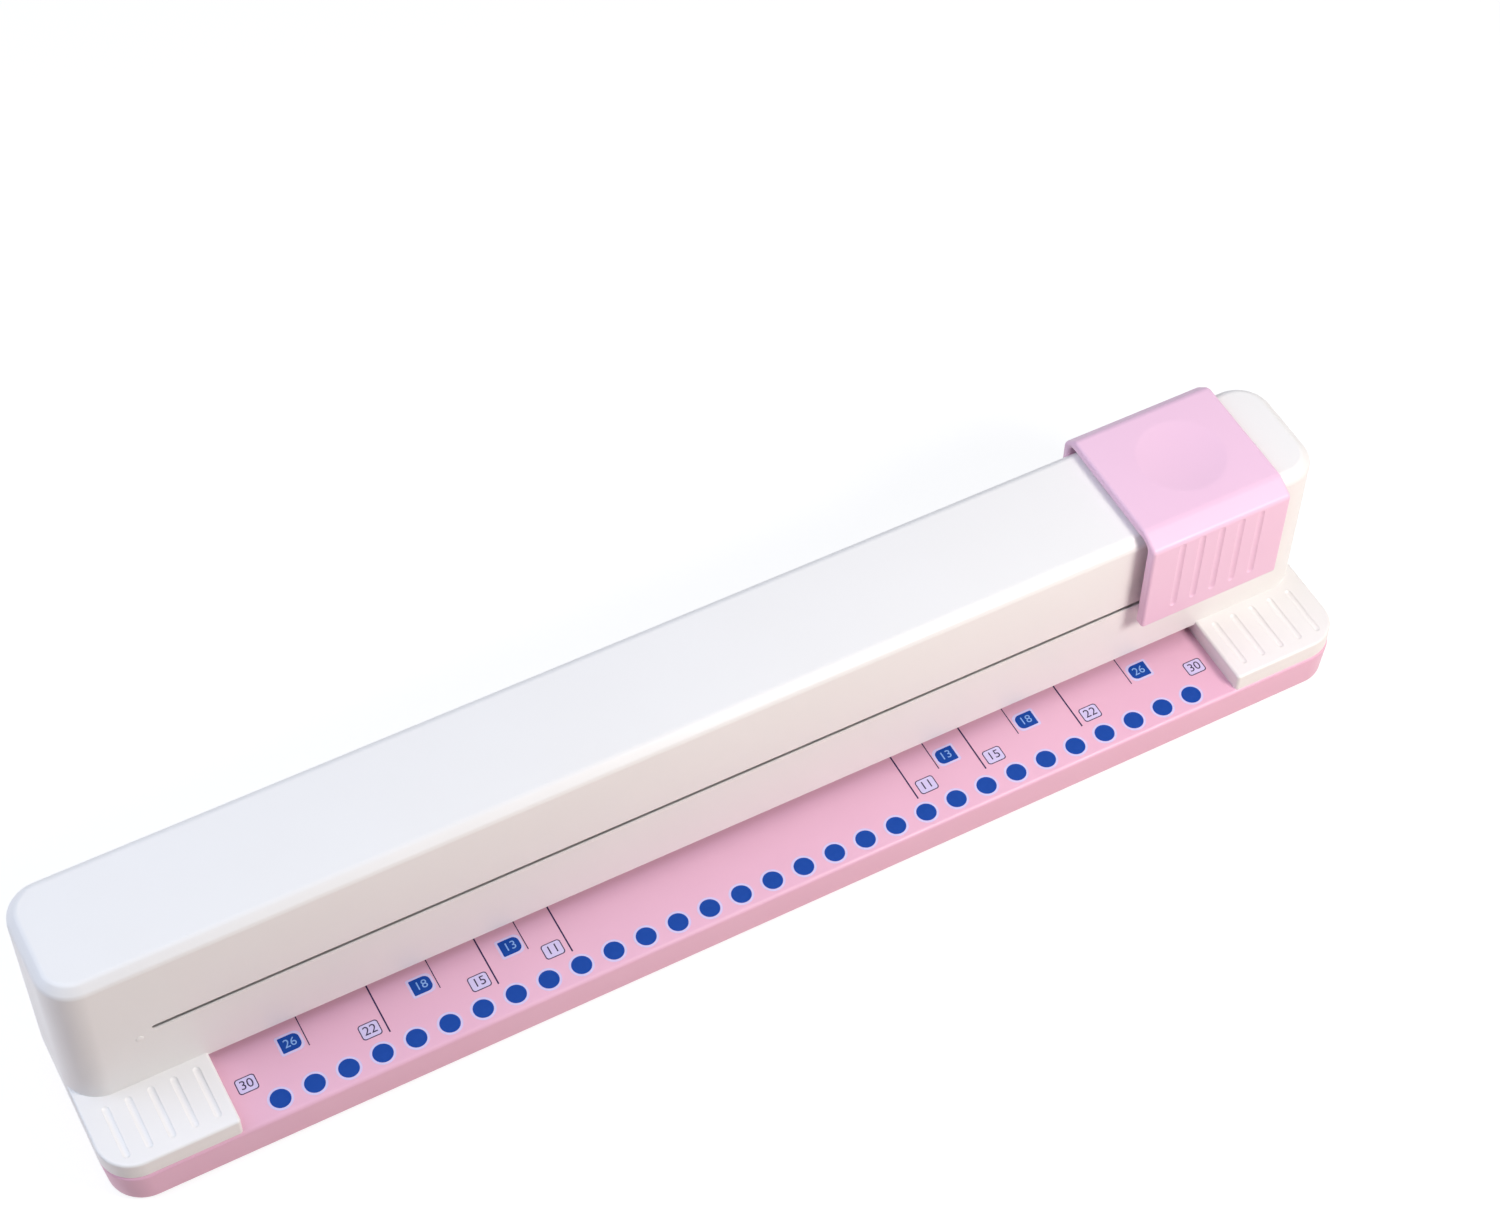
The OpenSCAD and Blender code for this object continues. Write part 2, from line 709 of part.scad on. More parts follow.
// Spring clips on both ends of the three axles
module axle_clips() {
    clip_gap = 0.1;
    clip_share = 1.6;
    color(spring_steel)
        for (axle = [[0, press_z, press_axle],
                     [-support_spread / 2, support_z, support_axle],
                     [support_spread / 2, support_z, support_axle]])
            for (side = [-1, 1])
                translate([0, side * (cheek_outer + clip_gap + clip_thickness / 2), 0]) difference() {
                    cross_shaft(park_x + axle[0], axle[1], clip_share * axle[2], clip_thickness);
                    cross_shaft(park_x + axle[0], axle[1], axle[2] + 2 * fixed_fit,
                                clip_thickness + 2 * cut);
                }
}

base_deck();
bottom_cover();
rubber_feet();
base_screws();
chip_drawer();
die_plate();
paper_stop();
stripper_plate();
pin_guide();
upper_rail();
end_bracket(-1);  // left_bracket
end_bracket(1);  // right_bracket
bracket_screws();
end_bumpers();
return_springs();
upper_housing();
slider_cap();
carriage();
press_axle_pin();
roller(park_x, press_z, press_diameter, press_axle);  // press_roller
support_axle_pins();
roller(park_x - support_spread / 2, support_z, support_diameter, support_axle);  // support_roller_left
roller(park_x + support_spread / 2, support_z, support_diameter, support_axle);  // support_roller_right
axle_clips();
for (i = [1 : pin_count])
    punch_pin(i);
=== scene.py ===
from math import copysign, cos, pi, radians, sin

import bmesh
import bpy
from mathutils import Matrix, Vector


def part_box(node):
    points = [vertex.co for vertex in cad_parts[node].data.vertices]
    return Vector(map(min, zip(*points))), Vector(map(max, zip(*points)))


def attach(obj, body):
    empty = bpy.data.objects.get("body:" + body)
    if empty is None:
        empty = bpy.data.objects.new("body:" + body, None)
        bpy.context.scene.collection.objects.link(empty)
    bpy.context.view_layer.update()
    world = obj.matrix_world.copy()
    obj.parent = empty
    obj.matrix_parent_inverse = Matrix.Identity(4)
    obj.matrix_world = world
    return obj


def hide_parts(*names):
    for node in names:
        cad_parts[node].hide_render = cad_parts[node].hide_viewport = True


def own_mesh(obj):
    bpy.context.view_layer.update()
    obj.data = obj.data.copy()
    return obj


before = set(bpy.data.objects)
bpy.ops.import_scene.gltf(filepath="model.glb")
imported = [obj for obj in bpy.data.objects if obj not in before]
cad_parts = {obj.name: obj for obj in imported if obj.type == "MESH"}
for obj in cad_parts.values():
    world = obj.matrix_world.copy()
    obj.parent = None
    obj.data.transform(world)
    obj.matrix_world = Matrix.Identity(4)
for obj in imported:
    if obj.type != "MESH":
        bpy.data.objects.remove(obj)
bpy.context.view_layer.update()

# Base
# One long injection moulding in pink ABS, with the flat paper deck on top and open below.
# It is cut for the die plate, for the chips that fall through the dies and for the drawer under them,
# and its end walls lean inwards towards the desk, as the mould's draft leaves them.
MM = 0.001
base_low, base_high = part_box("base_deck")
die_low, die_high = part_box("die_plate")
drawer_low, drawer_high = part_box("chip_drawer")
row_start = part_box("punch_pin_01")[0]
row_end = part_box("punch_pin_30")[1]
row_y = (die_low.y + die_high.y) / 2
corner_radius = 10 * MM
base_wall = 2.4 * MM
deck_thickness = 2.6 * MM
deck_edge = 1.2 * MM
deck_under = base_high.z - deck_thickness
drawer_rib = 1.2 * MM
drawer_gap = 0.3 * MM
seat_gap = 0.1 * MM
chip_slot_half = 5.5 * MM
boss_radius = 4.2 * MM
boss_inset = 7.17 * MM
end_draft = 1 * MM
cut = 1 * MM
sliver = 0.002 * MM
same_point = 1e-7
same_plane = 1e-6
pink_base = "EBBAD1"


def linear(colour):
    """Turns an sRGB hex colour into linear red, green, blue and alpha."""
    parts = [int(colour[i:i + 2], 16) / 255 for i in (0, 2, 4)]
    return [c / 12.92 if c <= 0.04045 else ((c + 0.055) / 1.055) ** 2.4 for c in parts] + [1]


def per_metre(size_mm):
    """The texture scale whose features are about this many millimetres wide."""
    return 1000 / size_mm


def add_node(tree, kind, inputs=(), **settings):
    """Adds a node with its settings, and sets or links its inputs."""
    node = tree.nodes.new(kind)
    for name, value in settings.items():
        setattr(node, name, value)
    for socket, value in dict(inputs).items():
        if isinstance(value, bpy.types.NodeSocket):
            tree.links.new(value, node.inputs[socket])
        else:
            node.inputs[socket].default_value = value
    return node


def moulded_abs(name, colour, shade, roughness):
    """ABS from a spark-eroded mould: faint flow clouds in the colour, and a satin grain.
    The real grain is about 0.15 mm wide. It is drawn at 0.8 mm, so that it shows."""
    material = bpy.data.materials.new(name)
    material.use_nodes = True
    tree = material.node_tree
    surface = tree.nodes["Principled BSDF"]
    surface.inputs["IOR"].default_value = 1.53
    place = add_node(tree, "ShaderNodeTexCoord").outputs["Object"]
    clouds = add_node(tree, "ShaderNodeTexNoise", {"Vector": place, "Scale": per_metre(45), "Detail": 3.0})
    tint = add_node(tree, "ShaderNodeMix", {0: clouds.outputs["Fac"], 6: linear(colour), 7: linear(shade)},
                    data_type="RGBA")
    handling = add_node(tree, "ShaderNodeTexNoise",
                        {"Vector": place, "Scale": per_metre(14), "Detail": 4.0})
    gloss = add_node(tree, "ShaderNodeMapRange",
                     {"Value": handling.outputs["Fac"], "From Min": 0.3, "From Max": 0.7,
                      "To Min": roughness - 0.05, "To Max": roughness + 0.05})
    grain = add_node(tree, "ShaderNodeTexNoise", {"Vector": place, "Scale": per_metre(0.8), "Detail": 2.0})
    bump = add_node(tree, "ShaderNodeBump",
                    {"Height": grain.outputs["Fac"], "Strength": 0.35, "Distance": 0.03 * MM})
    tree.links.new(tint.outputs[2], surface.inputs["Base Color"])
    tree.links.new(gloss.outputs["Result"], surface.inputs["Roughness"])
    tree.links.new(bump.outputs["Normal"], surface.inputs["Normal"])
    return material


def block(low, high):
    """A box between two corners."""
    low, high = Vector(low), Vector(high)
    shape = bmesh.new()
    bmesh.ops.create_cube(shape, size=1)
    bmesh.ops.scale(shape, vec=high - low, verts=shape.verts)
    bmesh.ops.translate(shape, vec=(low + high) / 2, verts=shape.verts)
    return shape


def along(shape, axis):
    """The edges that run along one axis: 0, 1 or 2."""
    return [e for e in shape.edges
            if all(abs(e.verts[0].co[i] - e.verts[1].co[i]) < same_point for i in range(3) if i != axis)]


def within(shape, axis, value):
    """The edges that lie in one plane across an axis."""
    return [e for e in shape.edges if all(abs(v.co[axis] - value) < same_plane for v in e.verts)]


def round_off(shape, edges, radius, steps):
    """Rounds these edges, each of them once."""
    bmesh.ops.bevel(shape, geom=list(dict.fromkeys(edges)), offset=radius, offset_type="OFFSET",
                    affect="EDGES", segments=steps, profile=0.5, material=-1)


def moulded_block(low, high, corner, edge, steps=6):
    """A box with round upright corners and a round upper edge, or with one step a flat one."""
    shape = block(low, high)
    round_off(shape, along(shape, 2), corner, 14)
    round_off(shape, within(shape, 2, high[2]), edge, steps)
    return shape


def drafted(shape, beyond):
    """Leans what lies further than this from the middle inwards towards the desk."""
    for vert in shape.verts:
        if abs(vert.co.x) > beyond:
            share = (base_high.z - vert.co.z) / (base_high.z - base_low.z)
            vert.co.x -= copysign(end_draft * share, vert.co.x)
    return shape


def round_post(x, y, low_z, high_z, radius):
    """An upright round post."""
    shape = bmesh.new()
    bmesh.ops.create_cone(shape, cap_ends=True, segments=32, radius1=radius, radius2=radius,
                          depth=high_z - low_z)
    bmesh.ops.translate(shape, vec=(x, y, (low_z + high_z) / 2), verts=shape.verts)
    return shape


def loosened(mesh):
    """Turns a mesh back into a shape that can be worked on."""
    shape = bmesh.new()
    shape.from_mesh(mesh)
    bpy.data.meshes.remove(mesh)
    return shape


def carve(body, joins=(), cuts=()):
    """Joins shapes to a body and cuts others out of it, and cleans slivers off what is left."""
    solids = []
    for shape in (body, *joins, *cuts):
        mesh = bpy.data.meshes.new("shape")
        shape.to_mesh(mesh)
        shape.free()
        solid = bpy.data.objects.new("shape", mesh)
        bpy.context.scene.collection.objects.link(solid)
        solids.append(solid)
    for number, solid in enumerate(solids[1:]):
        boolean = solids[0].modifiers.new("boolean", "BOOLEAN")
        boolean.operation = "UNION" if number < len(joins) else "DIFFERENCE"
        boolean.solver = "EXACT"
        boolean.object = solid
    bpy.context.view_layer.update()
    whole = solids[0].evaluated_get(bpy.context.evaluated_depsgraph_get())
    result = loosened(bpy.data.meshes.new_from_object(whole))
    for solid in solids:
        bpy.data.meshes.remove(solid.data)
    bmesh.ops.remove_doubles(result, verts=result.verts, dist=sliver)
    bmesh.ops.dissolve_degenerate(result, dist=sliver, edges=result.edges)
    return result


def show(name, shape, material, smooth_angle=35):
    """Puts a shape in the scene as a piece, smooth across shallow edges and flat on its large faces."""
    mesh = bpy.data.meshes.new(name)
    shape.to_mesh(mesh)
    shape.free()
    mesh.materials.append(material)
    mesh.shade_smooth()
    mesh.set_sharp_from_angle(angle=radians(smooth_angle))
    piece = bpy.data.objects.new(name, mesh)
    bpy.context.scene.collection.objects.link(piece)
    weighting = piece.modifiers.new("weighted_normals", "WEIGHTED_NORMAL")
    weighting.keep_sharp = True
    weighting.weight = 80
    return piece


pink_plastic = moulded_abs("pink_abs_satin_moulded", pink_base, "E6B2CA", 0.4)
base_shell = carve(
    drafted(moulded_block(base_low, base_high, corner_radius, deck_edge), 0),
    cuts=[moulded_block((base_low.x + base_wall, base_low.y + base_wall, base_low.z - cut),
                        (base_high.x - base_wall, base_high.y - base_wall, deck_under),
                        corner_radius - base_wall, deck_edge / 2)])
cover_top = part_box("bottom_cover")[1].z
tunnel_low = drawer_low.y - drawer_gap
tunnel_high = drawer_high.y + drawer_gap
base_ribs = [block((die_low.x, y, cover_top + seat_gap),
                   (die_high.x, y + drawer_rib, deck_under + seat_gap))
             for y in (tunnel_low - drawer_rib, tunnel_high)]
boss_places = [(x, y) for x in (base_low.x + boss_inset, base_high.x - boss_inset)
               for y in (base_low.y + boss_inset, base_high.y - boss_inset)]
base_bosses = [round_post(x, y, cover_top, deck_under + seat_gap, boss_radius) for x, y in boss_places]
die_pocket = block((die_low.x - seat_gap, die_low.y - seat_gap, die_low.z),
                   (die_high.x + seat_gap, die_high.y + seat_gap, base_high.z + cut))
chip_slot = block((row_start.x - chip_slot_half / 2, row_y - chip_slot_half, deck_under - cut),
                  (row_end.x + chip_slot_half / 2, row_y + chip_slot_half, base_high.z))
drawer_tunnel = block((die_high.x, tunnel_low, cover_top), (base_high.x + cut, tunnel_high, deck_under))
base_form = carve(base_shell, base_ribs + base_bosses, [die_pocket, chip_slot, drawer_tunnel])
base = show("base_moulding", base_form, pink_plastic)
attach(base, "punch_body")
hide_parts("base_deck")

# Bottom cover, feet and base screws
# A zinc-plated sheet steel cover closes the base from below. Six moulded rubber feet are stuck to it,
# and four pan-head screws with cross recesses clamp cover, base and housing together.
foot_low, foot_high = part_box("rubber_feet")
foot_radius = 5.5 * MM
foot_hollow_radius = 3.4 * MM
foot_hollow_depth = 0.35 * MM
foot_ring_radius = 3.8 * MM
foot_edge = 0.5 * MM
foot_taper = 0.15 * MM
screw_low, screw_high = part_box("base_screws")
screw_radius = 1.5 * MM
head_radius = 2.8 * MM
head_height = 1.2 * MM
screw_tip = 0.4 * MM
recess_reach = 1.6 * MM
recess_width = 0.7 * MM
recess_depth = 0.7 * MM
# The pan head's dome, as radii and heights in millimetres
head_dome = ((0, 0), (1.4, 0.04), (2.2, 0.25), (2.7, 0.7))


def plated_steel(name, colour, roughness, rolling_mm):
    """Rolled or ground steel: fine lines along X, and a soft cloudiness in the plating.
    The real lines are about 0.05 mm apart. They are drawn wider, at the spacing given."""
    material = bpy.data.materials.new(name)
    material.use_nodes = True
    tree = material.node_tree
    surface = tree.nodes["Principled BSDF"]
    surface.inputs["Metallic"].default_value = 1.0
    place = add_node(tree, "ShaderNodeTexCoord").outputs["Object"]
    stretch = add_node(tree, "ShaderNodeMapping", {"Vector": place, "Scale": (0.02, 1, 1)})
    lines = add_node(tree, "ShaderNodeTexNoise",
                     {"Vector": stretch.outputs["Vector"], "Scale": per_metre(rolling_mm), "Detail": 3.0})
    clouds = add_node(tree, "ShaderNodeTexNoise", {"Vector": place, "Scale": per_metre(6), "Detail": 2.0})
    dull = [c * 0.82 for c in linear(colour)[:3]] + [1]
    tint = add_node(tree, "ShaderNodeMix", {0: clouds.outputs["Fac"], 6: linear(colour), 7: dull},
                    data_type="RGBA")
    gloss = add_node(tree, "ShaderNodeMapRange",
                     {"Value": lines.outputs["Fac"], "From Min": 0.3, "From Max": 0.7,
                      "To Min": roughness - 0.08, "To Max": roughness + 0.08})
    bump = add_node(tree, "ShaderNodeBump",
                    {"Height": lines.outputs["Fac"], "Strength": 0.25, "Distance": 0.02 * MM})
    tree.links.new(tint.outputs[2], surface.inputs["Base Color"])
    tree.links.new(gloss.outputs["Result"], surface.inputs["Roughness"])
    tree.links.new(bump.outputs["Normal"], surface.inputs["Normal"])
    return material


def moulded_rubber(name, colour):
    """Black rubber from a matt mould, with a fine pebbled skin and a little bloom."""
    material = bpy.data.materials.new(name)
    material.use_nodes = True
    tree = material.node_tree
    surface = tree.nodes["Principled BSDF"]
    surface.inputs["Roughness"].default_value = 0.75
    place = add_node(tree, "ShaderNodeTexCoord").outputs["Object"]
    bloom = add_node(tree, "ShaderNodeTexNoise", {"Vector": place, "Scale": per_metre(4), "Detail": 3.0})
    pale = [c * 1.7 for c in linear(colour)[:3]] + [1]
    tint = add_node(tree, "ShaderNodeMix", {0: bloom.outputs["Fac"], 6: linear(colour), 7: pale},
                    data_type="RGBA")
    pebbles = add_node(tree, "ShaderNodeTexVoronoi", {"Vector": place, "Scale": per_metre(0.6)})
    bump = add_node(tree, "ShaderNodeBump",
                    {"Height": pebbles.outputs["Distance"], "Strength": 0.4, "Distance": 0.05 * MM})
    tree.links.new(tint.outputs[2], surface.inputs["Base Color"])
    tree.links.new(bump.outputs["Normal"], surface.inputs["Normal"])
    return material


def dress(material, *nodes):
    """Gives CAD pieces that are right as they are their finish."""
    for name in nodes:
        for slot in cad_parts[name].material_slots:
            slot.material = material


def turned(profile, x, y, steps):
    """A round shape, spun about an upright axis from (radius, height) points."""
    shape = bmesh.new()
    points = [shape.verts.new((radius, 0, height)) for radius, height in profile]
    for first, second in zip(points, points[1:]):
        shape.edges.new((first, second))
    bmesh.ops.spin(shape, geom=shape.verts[:] + shape.edges[:], cent=(0, 0, 0), axis=(0, 0, 1),
                   angle=2 * pi, steps=steps, use_merge=True)
    bmesh.ops.remove_doubles(shape, verts=shape.verts, dist=same_point)
    bmesh.ops.recalc_face_normals(shape, faces=shape.faces)
    bmesh.ops.translate(shape, vec=(x, y, 0), verts=shape.verts)
    return shape


def gathered(shapes):
    """Several separate shapes in one."""
    whole = bmesh.new()
    for shape in shapes:
        mesh = bpy.data.meshes.new("part")
        shape.to_mesh(mesh)
        shape.free()
        whole.from_mesh(mesh)
        bpy.data.meshes.remove(mesh)
    return whole


zinc_sheet = plated_steel("zinc_plated_rolled_steel", "BFC4C8", 0.34, 0.5)
dress(zinc_sheet, "bottom_cover")

rubber = moulded_rubber("black_rubber_matt_moulded", "2A292B")
foot_top = foot_high.z
foot_profile = [(0, foot_hollow_depth), (foot_hollow_radius, foot_hollow_depth), (foot_ring_radius, 0),
                (foot_radius - foot_edge, 0), (foot_radius - foot_taper, foot_taper),
                (foot_radius, foot_edge), (foot_radius - foot_taper, foot_top), (0, foot_top)]
foot_xs = (foot_low.x + foot_radius, 0, foot_high.x - foot_radius)
foot_ys = (foot_low.y + foot_radius, foot_high.y - foot_radius)
foot_shapes = [turned(foot_profile, x, y, 40) for x in foot_xs for y in foot_ys]
feet = show("foot_discs", gathered(foot_shapes), rubber)
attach(feet, "punch_body")
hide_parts("rubber_feet")

bright_zinc = plated_steel("bright_zinc_plated_screw_steel", "CBCFD2", 0.24, 0.3)
bearing_z = screw_low.z + head_height
screw_profile = [(radius * MM, screw_low.z + rise * MM) for radius, rise in head_dome]
screw_profile += [(head_radius, bearing_z), (screw_radius, bearing_z),
                  (screw_radius, screw_high.z - screw_tip), (screw_radius - screw_tip, screw_high.z),
                  (0, screw_high.z)]
screw_xs = (screw_low.x + head_radius, screw_high.x - head_radius)
screw_ys = (screw_low.y + head_radius, screw_high.y - head_radius)
recesses = []
for x in screw_xs:
    for y in screw_ys:
        for wide, deep in ((recess_reach, recess_width / 2), (recess_width / 2, recess_reach)):
            recesses.append(block((x - wide, y - deep, screw_low.z - cut),
                                  (x + wide, y + deep, screw_low.z + recess_depth)))
screw_shapes = [turned(screw_profile, x, y, 32) for x in screw_xs for y in screw_ys]
screws = show("cover_screws", carve(gathered(screw_shapes), cuts=recesses), bright_zinc)
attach(screws, "punch_body")
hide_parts("base_screws")

# Chip drawer
# A long shallow tray in the same pink ABS, which slides out through the right-hand end.
# A finger slot in its end panel opens into a pocket behind it.
drawer_wall = 1.2 * MM
drawer_floor = drawer_low.z + drawer_wall
drawer_panel = 2 * base_wall
panel_skin = 0.8 * MM
drawer_edge = 0.35 * MM
tray_corner = 0.8 * MM

drawer_form = block(drawer_low, drawer_high)
round_off(drawer_form, along(drawer_form, 2) + within(drawer_form, 0, drawer_high.x), drawer_edge, 3)
tray_hollow = block((drawer_low.x + drawer_wall, drawer_low.y + drawer_wall, drawer_floor),
                    (drawer_high.x - drawer_panel, drawer_high.y - drawer_wall, drawer_high.z + cut))
round_off(tray_hollow, along(tray_hollow, 2), tray_corner, 4)
pull_low = Vector((drawer_high.x - base_wall, drawer_low.y + 2 * drawer_wall, drawer_floor + panel_skin))
pull_side = drawer_high.y - 2 * drawer_wall
pull_pocket = block(pull_low, (drawer_high.x - panel_skin, pull_side, drawer_high.z - panel_skin))
finger_slot = block(pull_low, (drawer_high.x + cut, pull_side, pull_low.z + 2 * panel_skin))
tray = carve(drawer_form, cuts=[tray_hollow, pull_pocket, finger_slot])
drawer = show("chip_tray", drafted(tray, drawer_high.x - drawer_panel - seat_gap), pink_plastic)
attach(drawer, "chip_drawer")
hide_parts("chip_drawer")

# Punch works
# Zinc-plated plates and brackets carry a hardened and ground die plate and thirty turned pins.
# The plates' tabs sit in the brackets, and rubber bumpers are stuck to the brackets' inner faces.
ground_steel = plated_steel("hardened_ground_steel", "AEB3B8", 0.22, 0.25)
pin_names = [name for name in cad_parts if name.startswith("punch_pin_")]
dress(zinc_sheet, "paper_stop", "stripper_plate", "pin_guide", "upper_rail", "left_bracket",
      "right_bracket")
dress(bright_zinc, "bracket_screws")
dress(ground_steel, "die_plate", *pin_names)
dress(rubber, "end_bumpers")

# Return springs
# Thirty coil springs of hard-drawn wire, one round each pin, stand on the pin guide.
# Each is wound in six turns.
spring_low, spring_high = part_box("return_springs")
wire_radius = 0.27 * MM
coil_turns = 6
rings_per_turn = 18
coil_radius = (spring_high.y - spring_low.y) / 2 - wire_radius
coil_rise = spring_high.z - spring_low.z - 2 * wire_radius
spring_wire = plated_steel("hard_drawn_spring_wire", "8F959A", 0.3, 0.3)

for name in sorted(pin_names):
    pin_low, pin_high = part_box(name)
    number = name[-2:]
    coil = bmesh.new()
    wire = bmesh.ops.create_circle(coil, segments=6, radius=wire_radius)["verts"]
    bmesh.ops.rotate(coil, cent=(0, 0, 0), matrix=Matrix.Rotation(pi / 2, 3, "X"), verts=wire)
    bmesh.ops.translate(coil, vec=(coil_radius, 0, spring_low.z + wire_radius), verts=wire)
    rings = coil_turns * rings_per_turn
    bmesh.ops.spin(coil, geom=coil.edges[:], cent=(0, 0, 0), axis=(0, 0, 1), angle=2 * pi * coil_turns,
                   steps=rings, dvec=(0, 0, coil_rise / rings))
    bmesh.ops.holes_fill(coil, edges=[e for e in coil.edges if e.is_boundary], sides=0)
    bmesh.ops.recalc_face_normals(coil, faces=coil.faces)
    bmesh.ops.translate(coil, vec=((pin_low.x + pin_high.x) / 2, row_y, 0), verts=coil.verts)
    spring = show("return_spring_" + number, coil, spring_wire, 60)
    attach(spring, "punch_body")
    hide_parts("return_springs")
    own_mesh(spring)

# Upper housing
# The hollow beam and the two grooved end pads are one injection moulding in white ABS, screwed down
# on the base. The slider's plate runs in a narrow slot along both sides, thinned from inside along its
# lower edge, and a small raised dot stands past each end of the front slot.
housing_low, housing_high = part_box("upper_housing")
carriage_low, carriage_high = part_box("carriage")
housing_wall = 2.4 * MM
beam_edge = 2.6 * MM
beam_edge_soft = 0.9 * MM
beam_front = 2 * row_y - housing_high.y
pad_top = housing_low.z + 5.8 * MM
mouth_top = housing_low.z + 4.3 * MM
mouth_edge = 0.5 * MM
mouth_steps = 4
sides = (-1, 1)
pad_inner = 149.7 * MM
pad_edge = 0.8 * MM
pad_small_corner = 1 * MM
groove_count = 5
groove_pitch = 6.15 * MM
groove_width = 2 * MM
groove_depth = 0.5 * MM
groove_inset = 4.5 * MM
groove_front = housing_low.y + 3.5 * MM + groove_width / 2
groove_back = beam_front - 2.5 * MM - groove_width / 2
groove_radius = (groove_width ** 2 / 4 + groove_depth ** 2) / (2 * groove_depth)
groove_z = pad_top - groove_depth + groove_radius
plate_thickness = 1.2 * MM
slot_clearance = 0.2 * MM
slot_low = carriage_low.z - slot_clearance
slot_high = carriage_low.z + plate_thickness + slot_clearance
slot_end = carriage_high.x + slot_clearance
slot_corner = 0.6 * MM
slot_lip = 0.4 * MM
slot_relief = 2.2 * MM
pip_x = 165.4 * MM
pip_z = 37.2 * MM
pip_radius = 1.1 * MM
pip_height = 0.25 * MM
white_shell = "F3F1F0"


def end_pad(side, inset, top):
    """The raised pad at one end, solid, with its outer front corner rounded."""
    inner, outer = pad_inner + inset, housing_high.x - inset
    low_x, high_x = sorted((side * inner, side * outer))
    low_z = housing_low.z - (cut if inset else 0)
    shape = block((low_x, housing_low.y + inset, low_z), (high_x, beam_front + corner_radius, top))
    corner = [e for e in along(shape, 2)
              if e.verts[0].co.y < beam_front - cut and abs(abs(e.verts[0].co.x) - outer) < same_plane]
    round_off(shape, corner, corner_radius - inset, 14)
    small = [e for e in along(shape, 2) if abs(abs(e.verts[0].co.x) - inner) < same_plane]
    round_off(shape, small, pad_small_corner, 4)
    round_off(shape, within(shape, 2, top), pad_edge, 4)
    return shape


def extruded(profile, low_x, high_x):
    """A shape of one cross-section along X, from (y, z) points."""
    shape = bmesh.new()
    section = shape.faces.new([shape.verts.new((low_x, y, z)) for y, z in profile])
    grown = bmesh.ops.extrude_face_region(shape, geom=[section])["geom"]
    ends = [v for v in grown if isinstance(v, bmesh.types.BMVert)]
    bmesh.ops.translate(shape, vec=(high_x - low_x, 0, 0), verts=ends)
    bmesh.ops.recalc_face_normals(shape, faces=shape.faces)
    return shape


def capsule(first, last, radius):
    """A round bar with domed ends between two points, for a moulded groove."""
    first, last = Vector(first), Vector(last)
    shape = bmesh.new()
    bmesh.ops.create_uvsphere(shape, u_segments=40, v_segments=25, radius=radius)
    turn = Vector((0, 0, 1)).rotation_difference(last - first).to_matrix()
    upper = [v for v in shape.verts if v.co.z > 0]
    bmesh.ops.translate(shape, vec=(0, 0, (last - first).length), verts=upper)
    bmesh.ops.rotate(shape, cent=(0, 0, 0), matrix=turn, verts=shape.verts)
    bmesh.ops.translate(shape, vec=first, verts=shape.verts)
    return shape


white_plastic = moulded_abs("white_abs_satin_moulded", white_shell, "EFECEA", 0.36)
beam = moulded_block((housing_low.x, beam_front, housing_low.z), housing_high, corner_radius, beam_edge, 1)
beam_creases = within(beam, 2, housing_high.z) + within(beam, 2, housing_high.z - beam_edge)
round_off(beam, beam_creases, beam_edge_soft, 4)
beam_hollow = moulded_block((housing_low.x + housing_wall, beam_front + housing_wall, housing_low.z - cut),
                            (housing_high.x - housing_wall, housing_high.y - housing_wall,
                             housing_high.z - housing_wall), corner_radius - housing_wall, beam_edge / 3)
mouth_low = housing_low.z - cut
mouth_inside = beam_front + housing_wall + cut
mouth_profile = [(beam_front - cut, mouth_low), (mouth_inside, mouth_low), (mouth_inside, mouth_top)]
for step in range(mouth_steps + 1):
    angle = step * pi / (2 * mouth_steps)
    mouth_profile.append((beam_front + mouth_edge * (1 - sin(angle)),
                          mouth_top + mouth_edge * (1 - cos(angle))))
mouth_profile.append((beam_front - cut, mouth_top + mouth_edge))
mouth = extruded(mouth_profile, -pad_inner, pad_inner)
slots = []
for face_y, inwards in ((beam_front, 1), (housing_high.y, -1)):
    near, far = sorted((face_y - inwards * cut, face_y + inwards * (housing_wall + cut)))
    slot = block((-slot_end, near, slot_low), (slot_end, far, slot_high))
    round_off(slot, along(slot, 1), slot_corner, 4)
    near, far = sorted((face_y + inwards * slot_lip, face_y + inwards * (housing_wall + cut)))
    slots += [slot, block((-slot_end, near, slot_low - slot_relief), (slot_end, far, slot_high))]
grooves = []
for side in sides:
    for number in range(groove_count):
        x = side * (pad_inner + groove_inset + number * groove_pitch)
        grooves.append(capsule((x, groove_front, groove_z), (x, groove_back, groove_z), groove_radius))
pips = []
for side in sides:
    pip = bmesh.new()
    bmesh.ops.create_uvsphere(pip, u_segments=24, v_segments=17, radius=pip_radius)
    bmesh.ops.rotate(pip, cent=(0, 0, 0), matrix=Matrix.Rotation(pi / 2, 3, "X"), verts=pip.verts)
    bmesh.ops.scale(pip, vec=(1, pip_height / pip_radius, 1), verts=pip.verts)
    bmesh.ops.translate(pip, vec=(side * pip_x, beam_front, pip_z), verts=pip.verts)
    pips.append(pip)
pads = [end_pad(side, 0, pad_top) for side in sides]
pad_hollows = [end_pad(side, housing_wall, pad_top - housing_wall) for side in sides]
housing_form = carve(beam, pads + pips, [beam_hollow, mouth] + pad_hollows + slots + grooves)
housing = show("housing_shell", housing_form, white_plastic)
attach(housing, "punch_body")
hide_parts("upper_housing")

